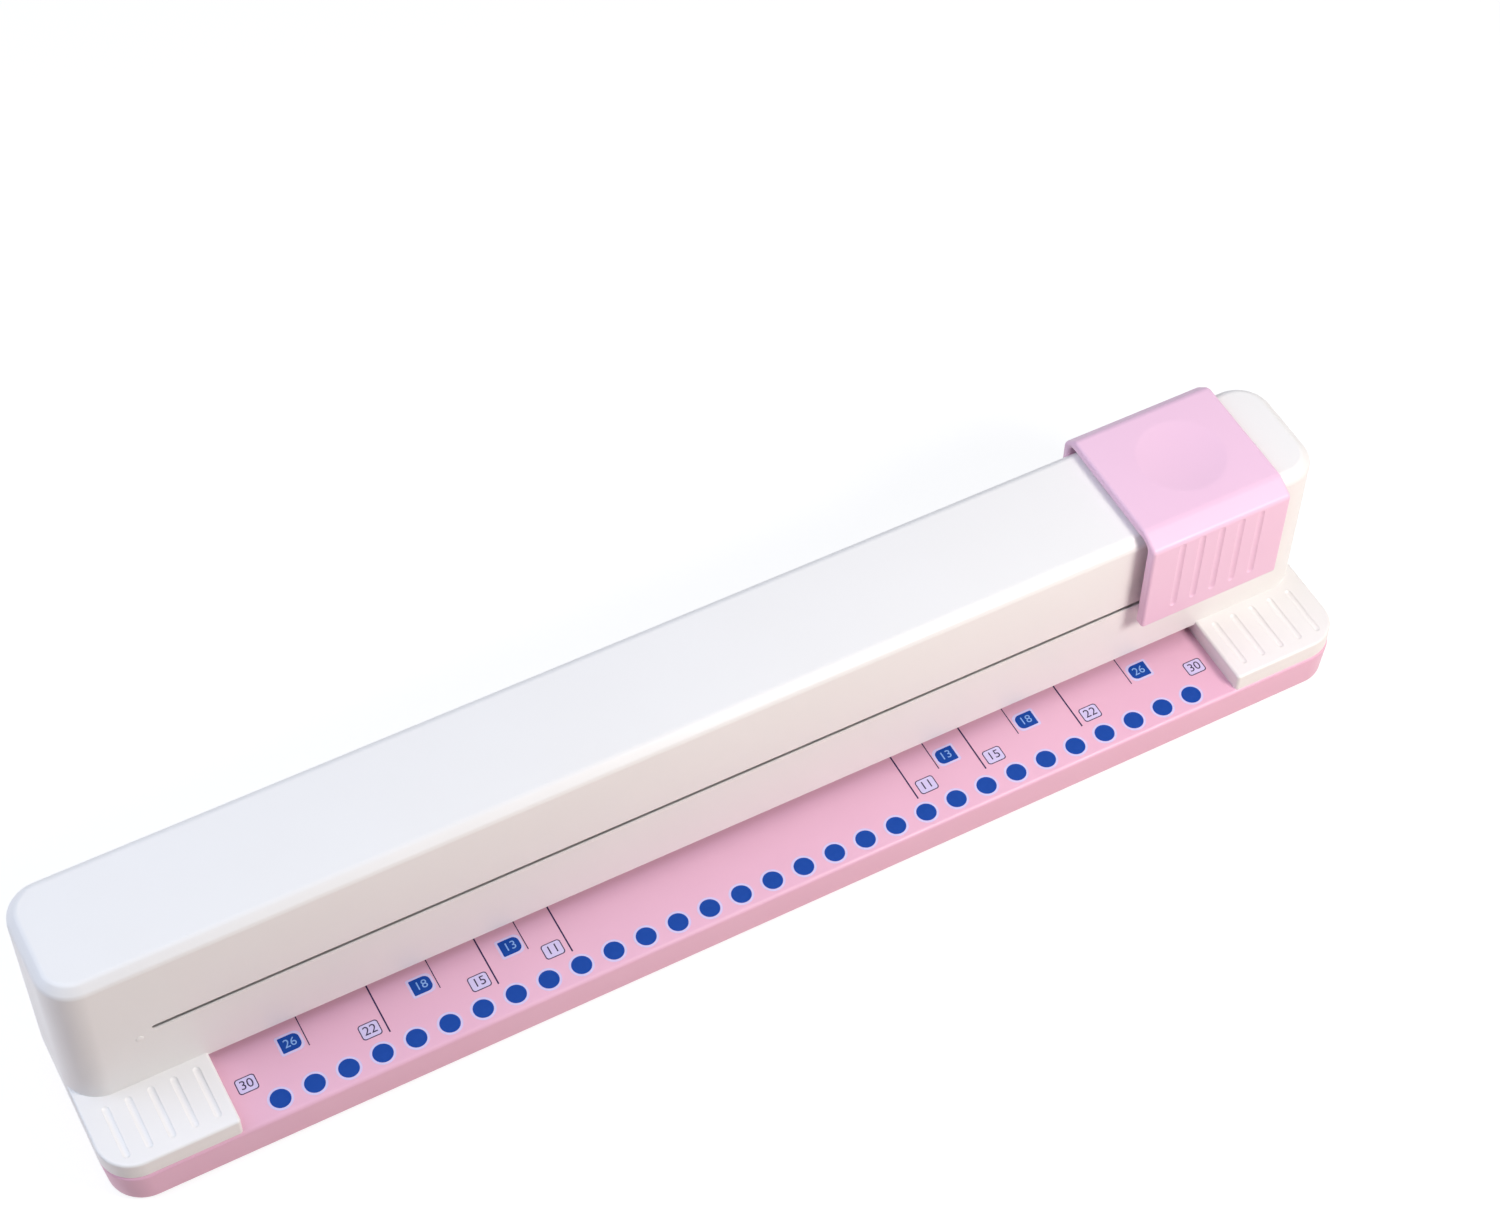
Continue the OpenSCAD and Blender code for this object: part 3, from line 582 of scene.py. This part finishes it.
# Slider
# A pink ABS arch over the beam, pushed by hand, with a thumb dish on top and grip grooves on both skirts.
# Its front skirt stands further off the beam than its back one, under a wider and flatter facet.
# A bent steel carriage inside carries the press roller, two support rollers, their axles and clips.
cap_low, cap_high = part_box("slider_cap")
front_step = 2.1 * MM
skirt_lift = 2.9 * MM
left_reach = 2.2 * MM
right_trim = 0.7 * MM
arch_low = cap_low + Vector((-left_reach, -front_step, skirt_lift))
arch_high = cap_high - Vector((right_trim, 0, 0))
front_gap = 2.2 * MM
top_gap = 0.35 * MM
back_gap = 1 * MM
front_facet_depth = 6 * MM
front_facet_drop = 3.1 * MM
back_facet = 4.5 * MM
arch_edge_soft = 1.1 * MM
arch_inner_edge = 2.5 * MM
arch_rim = 1 * MM
dish_x = (cap_low.x + cap_high.x) / 2
dish_radius = 12.5 * MM
dish_depth = 1 * MM
dish_curve = (dish_radius ** 2 + dish_depth ** 2) / (2 * dish_depth)
dish_steps = 10
dish_rim = 0.97 * dish_radius
# The dish runs out softly: shares of its radius, each with a height in millimetres
dish_lip = ((1, -0.03), (1.03, -0.01), (1.14, 0.01))
dish_clear = dish_lip[-1][0] * dish_radius
grip_count = 5
grip_pitch = 6.3 * MM
grip_width = 2.2 * MM
grip_depth = 0.4 * MM
grip_radius = (grip_width ** 2 / 4 + grip_depth ** 2) / (2 * grip_depth)
grip_foot = 6 * MM
grip_head = 0.7 * MM
grip_low = arch_low.z + grip_foot
grip_high = arch_high.z - back_facet - grip_head
grip_x = (arch_low.x + arch_high.x) / 2
pink_slider = "F3CBE3"

slider_plastic = moulded_abs("pink_abs_slider_moulded", pink_slider, "EDC2DC", 0.42)
arch = extruded([(arch_low.y, arch_low.z), (arch_low.y, arch_high.z - front_facet_drop),
                 (arch_low.y + front_facet_depth, arch_high.z), (arch_high.y - back_facet, arch_high.z),
                 (arch_high.y, arch_high.z - back_facet), (arch_high.y, arch_low.z)],
                arch_low.x, arch_high.x)
arch_creases = [e for e in along(arch, 0) if e.verts[0].co.z > arch_high.z - back_facet - cut]
round_off(arch, arch_creases, arch_edge_soft, 5)
opening = block((arch_low.x - cut, beam_front - front_gap, arch_low.z - cut),
                (arch_high.x + cut, housing_high.y + back_gap, housing_high.z + top_gap))
opening_creases = [e for e in along(opening, 0) if e.verts[0].co.z > housing_high.z]
round_off(opening, opening_creases, arch_inner_edge, 6)
arch = carve(arch, cuts=[opening])
arch_rims = within(arch, 0, arch_low.x) + within(arch, 0, arch_high.x) + within(arch, 2, arch_low.z)
round_off(arch, arch_rims, arch_rim, 5)
plate_seat = block((carriage_low.x - seat_gap, carriage_low.y - seat_gap, carriage_low.z - seat_gap),
                   (carriage_high.x + seat_gap, carriage_high.y + seat_gap,
                    carriage_low.z + plate_thickness + seat_gap))
dish_profile = []
for step in range(dish_steps + 1):
    radius = dish_rim * step / dish_steps
    dish_profile.append((radius, radius ** 2 / (2 * dish_curve) - dish_depth))
dish_profile += [(share * dish_radius, height * MM) for share, height in dish_lip]
dish_profile += [(dish_clear, cut), (0, cut)]
dish = turned([(radius, cap_high.z + height) for radius, height in dish_profile], dish_x, row_y, 72)
grips = []
for number in range(grip_count):
    x = grip_x + (number - (grip_count - 1) / 2) * grip_pitch
    for y in (arch_low.y - grip_radius + grip_depth, arch_high.y + grip_radius - grip_depth):
        grips.append(capsule((x, y, grip_low), (x, y, grip_high), grip_radius))
cap = show("slider_arch", carve(arch, cuts=[plate_seat, dish] + grips), slider_plastic)
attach(cap, "slider")
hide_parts("slider_cap")
dress(zinc_sheet, "carriage")
dress(ground_steel, "press_axle_pin", "press_roller", "support_axle_pins", "support_roller_left",
      "support_roller_right")
dress(spring_wire, "axle_clips")

# Deck marks
# Pad-printed guide marks on the deck: a blue dot for each hole over a pale underprint, edge lines for
# smaller sheets, and small boxes with the number of holes that a sheet of that width takes.
deck_z = base_high.z
hole_count = len(pin_names)
hole_pitch = 9.5 * MM
dot_y = base_low.y + 5.1 * MM
dot_radius = 2.8 * MM
halo = 0.65 * MM
ink = 0.04 * MM
long_line_width = 0.42 * MM
long_line_front = -21.7 * MM
short_line_width = 0.28 * MM
short_line_front = -15.7 * MM
line_back = beam_front + 4 * MM
box_half = Vector((2.8 * MM, 2.4 * MM, 0))
box_line = 0.28 * MM
outline_corner = 0.9 * MM
outline_inner_corner = 0.7 * MM
filled_corners = (1.7 * MM, 0.3 * MM)
underprint_corners = (1.9 * MM, 0.6 * MM)
outlined_digits = 3.8 * MM
filled_digits = 3.6 * MM
outlined_y = base_low.y + 12.9 * MM
filled_y = base_low.y + 19 * MM
# Distances from the middle in millimetres, with the number printed there
outlined_marks = {143.8: "30", 109.4: "22", 78.2: "15", 56.85: "11"}
filled_marks = {129.2: "26", 92.1: "18", 66.4: "13"}
# Half the widths of the smaller sheets, in millimetres
long_lines = (105, 74, 52.5)
short_lines = (125, 88, 62.5)


def printed_ink(name, colour, shade):
    """Pad-printing ink: a thin, slightly uneven film with a soft sheen."""
    material = bpy.data.materials.new(name)
    material.use_nodes = True
    tree = material.node_tree
    surface = tree.nodes["Principled BSDF"]
    surface.inputs["Roughness"].default_value = 0.55
    surface.inputs["Specular IOR Level"].default_value = 0.2
    place = add_node(tree, "ShaderNodeTexCoord").outputs["Object"]
    film = add_node(tree, "ShaderNodeTexNoise", {"Vector": place, "Scale": per_metre(1.5), "Detail": 4.0})
    tint = add_node(tree, "ShaderNodeMix", {0: film.outputs["Fac"], 6: linear(colour), 7: linear(shade)},
                    data_type="RGBA")
    tree.links.new(tint.outputs[2], surface.inputs["Base Color"])
    return material


def raise_film(shape, thickness):
    """Gives flat printed shapes the thickness of their ink."""
    grown = bmesh.ops.extrude_face_region(shape, geom=shape.faces[:])["geom"]
    upper = [v for v in grown if isinstance(v, bmesh.types.BMVert)]
    bmesh.ops.translate(shape, vec=(0, 0, thickness), verts=upper)
    bmesh.ops.recalc_face_normals(shape, faces=shape.faces)
    return shape


def flat_disc(x, y, radius):
    """A flat round mark."""
    shape = bmesh.new()
    bmesh.ops.create_circle(shape, cap_ends=True, segments=40, radius=radius)
    bmesh.ops.translate(shape, vec=(x, y, deck_z), verts=shape.verts)
    return shape


def flat_box(x, y, half, inner_radius, outer_radius):
    """A flat box with round corners, whose corners towards the middle of the deck have their own radius."""
    shape = bmesh.new()
    bmesh.ops.create_grid(shape, x_segments=1, y_segments=1, size=1)
    bmesh.ops.scale(shape, vec=(half.x, half.y, 1), verts=shape.verts)
    towards_middle = -1 if x > 0 else 1
    for side, radius in ((towards_middle, inner_radius), (-towards_middle, outer_radius)):
        corners = [v for v in shape.verts if abs(v.co.x - side * half.x) < same_point]
        bmesh.ops.bevel(shape, geom=corners, offset=radius, offset_type="OFFSET", affect="VERTICES",
                        segments=5, profile=0.5, material=-1)
    bmesh.ops.translate(shape, vec=(x, y, deck_z), verts=shape.verts)
    return shape


def flat_number(text, x, y, height):
    """A plain number, filled flat."""
    letters = bpy.data.curves.new("number", "FONT")
    letters.body = text
    letters.size = height
    letters.align_x = "CENTER"
    letters.align_y = "CENTER"
    carrier = bpy.data.objects.new("number", letters)
    bpy.context.scene.collection.objects.link(carrier)
    bpy.context.view_layer.update()
    mesh = bpy.data.meshes.new_from_object(carrier.evaluated_get(bpy.context.evaluated_depsgraph_get()))
    bpy.data.curves.remove(letters)
    shape = loosened(mesh)
    bmesh.ops.remove_doubles(shape, verts=shape.verts, dist=same_point)
    bmesh.ops.translate(shape, vec=(x, y, deck_z), verts=shape.verts)
    return shape


def print_on_deck(name, shapes, thickness, material):
    """Prints flat shapes on the deck as one piece."""
    piece = show(name, raise_film(gathered(shapes), thickness), material)
    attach(piece, "punch_body")


blue_ink = printed_ink("blue_pad_printing_ink", "0A419B", "1249A4")
light_ink = printed_ink("light_blue_pad_printing_ink", "7FAAE2", "8DB4E6")
pale_ink = printed_ink("pale_pad_printing_ink", "D9CFF2", "D1C6EB")
dark_ink = printed_ink("dark_pad_printing_ink", "33264C", "3E3058")
row_middle = (row_start.x + row_end.x) / 2
mark_places = [(row_middle + (i - (hole_count - 1) / 2) * hole_pitch, dot_y) for i in range(hole_count)]
filled_places = [(side * x * MM, filled_y, text) for x, text in filled_marks.items() for side in sides]
outlined_places = [(side * x * MM, outlined_y, text)
                   for x, text in outlined_marks.items() for side in sides]
grown_box = box_half + Vector((halo, halo, 0))
inner_box = box_half - Vector((box_line, box_line, 0))
outlines = [flat_box(x, y, box_half, outline_corner, outline_corner) for x, y, text in outlined_places]
print_on_deck("deck_box_outlines", outlines, ink / 2, dark_ink)
underprint = [flat_disc(x, y, dot_radius + halo) for x, y in mark_places]
underprint += [flat_box(x, y, grown_box, *underprint_corners) for x, y, text in filled_places]
underprint += [flat_box(x, y, inner_box, outline_inner_corner, outline_inner_corner)
               for x, y, text in outlined_places]
print_on_deck("deck_underprint", underprint, ink, pale_ink)
blue_marks = [flat_disc(x, y, dot_radius) for x, y in mark_places]
blue_marks += [flat_box(x, y, box_half, *filled_corners) for x, y, text in filled_places]
print_on_deck("deck_blue_marks", blue_marks, 1.5 * ink, blue_ink)
edge_lines = []
for places, front, width in ((long_lines, long_line_front, long_line_width),
                             (short_lines, short_line_front, short_line_width)):
    for x in places:
        for side in sides:
            edge_lines.append(block((side * x * MM - width / 2, front, deck_z),
                                    (side * x * MM + width / 2, line_back, deck_z + ink)))
line_piece = show("deck_edge_lines", gathered(edge_lines), dark_ink)
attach(line_piece, "punch_body")
dark_numbers = [flat_number(text, x, y, outlined_digits) for x, y, text in outlined_places]
print_on_deck("deck_dark_numbers", dark_numbers, 1.5 * ink, dark_ink)
light_numbers = [flat_number(text, x, y, filled_digits) for x, y, text in filled_places]
print_on_deck("deck_light_numbers", light_numbers, 2 * ink, light_ink)

# Studio
# A seamless paper floor under soft light: a wide cool softbox over the left half, a small warm key at the
# front right, a cool fill at the left, and a sky that dims towards the front left.
# The camera sees floor and sky as white, and keeps the shadow.
floor_half = 4
floor_bounce = "D7C2B7"
floor_shade = "909090"
floor_glow = 0.81
white = "FFFFFF"
sky_blue = "F4F7FF"
dim_direction = (-0.75, -0.65, 0.1)
sky_bright = 0.4
sky_dim = 0.04
camera_place = Vector((-231.947, -440.341, 748.05)) * MM
camera_heading = radians(-28.878)
camera_tilt = radians(90 - 52.288)
camera_roll = radians(1.063)


def seen_rays(tree):
    """One for rays that reach the eye straight or by a reflection, and nought for those that give light."""
    path = add_node(tree, "ShaderNodeLightPath")
    seen = path.outputs["Is Camera Ray"]
    for ray in ("Is Glossy Ray", "Is Transmission Ray"):
        either = add_node(tree, "ShaderNodeMath", {0: seen, 1: path.outputs[ray]}, operation="MAXIMUM")
        seen = either.outputs[0]
    return seen


floor_shape = bmesh.new()
bmesh.ops.create_grid(floor_shape, x_segments=1, y_segments=1, size=floor_half)
floor_mesh = bpy.data.meshes.new("studio_floor")
floor_shape.to_mesh(floor_mesh)
floor_shape.free()
floor = bpy.data.objects.new("studio_floor", floor_mesh)
bpy.context.scene.collection.objects.link(floor)

paper_white = bpy.data.materials.new("seamless_paper")
paper_white.use_nodes = True
tree = paper_white.node_tree
tree.nodes.clear()
bounce = add_node(tree, "ShaderNodeBsdfDiffuse", {"Color": linear(floor_bounce)})
shadowed = add_node(tree, "ShaderNodeBsdfDiffuse", {"Color": linear(floor_shade)})
glow = add_node(tree, "ShaderNodeEmission", {"Color": linear(white), "Strength": floor_glow})
lit = add_node(tree, "ShaderNodeAddShader", {0: shadowed.outputs[0], 1: glow.outputs[0]})
choice = add_node(tree, "ShaderNodeMixShader",
                  {0: seen_rays(tree), 1: bounce.outputs[0], 2: lit.outputs[0]})
add_node(tree, "ShaderNodeOutputMaterial", {"Surface": choice.outputs[0]})
floor_mesh.materials.append(paper_white)

world = bpy.data.worlds.new("soft_sky")
bpy.context.scene.world = world
world.use_nodes = True
tree = world.node_tree
tree.nodes.clear()
towards = add_node(tree, "ShaderNodeTexCoord").outputs["Generated"]
dim_side = add_node(tree, "ShaderNodeVectorMath", {0: towards, 1: dim_direction}, operation="DOT_PRODUCT")
level = add_node(tree, "ShaderNodeMapRange",
                 {"Value": dim_side.outputs["Value"], "From Min": 0.1, "From Max": 0.85,
                  "To Min": sky_bright, "To Max": sky_dim})
fill_light = add_node(tree, "ShaderNodeBackground",
                      {"Color": linear(sky_blue), "Strength": level.outputs["Result"]})
white_sky = add_node(tree, "ShaderNodeBackground", {"Color": linear(white), "Strength": 1.0})
choice = add_node(tree, "ShaderNodeMixShader",
                  {0: seen_rays(tree), 1: fill_light.outputs[0], 2: white_sky.outputs[0]})
add_node(tree, "ShaderNodeOutputWorld", {"Surface": choice.outputs[0]})


def softbox(name, place, aim, size, power, colour):
    """A square area lamp that faces a point."""
    lamp = bpy.data.lights.new(name, "AREA")
    lamp.size = size
    lamp.energy = power
    lamp.color = linear(colour)[:3]
    holder = bpy.data.objects.new(name, lamp)
    holder.location = place
    holder.rotation_euler = (Vector(aim) - Vector(place)).to_track_quat("-Z", "Y").to_euler()
    bpy.context.scene.collection.objects.link(holder)


softbox("overhead_softbox", (-0.45, 0.05, 0.8), (-0.15, 0, 0), 0.7, 3.4, "DDEBFF")
softbox("right_key", (0.31, -0.42, 0.47), (0.08, 0, 0.03), 0.18, 3.15, "FFF9F2")
softbox("left_fill", (-0.9, 0.3, 0.45), (-0.18, 0, 0.04), 0.5, 1.95, "DCE8FF")

camera_lens = bpy.data.cameras.new("photo_camera")
camera_lens.sensor_fit = "HORIZONTAL"
camera_lens.sensor_width = 36
camera_lens.lens = 78.28
camera_lens.clip_start = 0.05
camera = bpy.data.objects.new("photo_camera", camera_lens)
bpy.context.scene.collection.objects.link(camera)
camera.matrix_world = (Matrix.Translation(camera_place) @ Matrix.Rotation(camera_heading, 4, "Z")
                       @ Matrix.Rotation(camera_tilt, 4, "X") @ Matrix.Rotation(camera_roll, 4, "Z"))
bpy.context.scene.camera = camera
bpy.context.scene.view_settings.view_transform = "Standard"
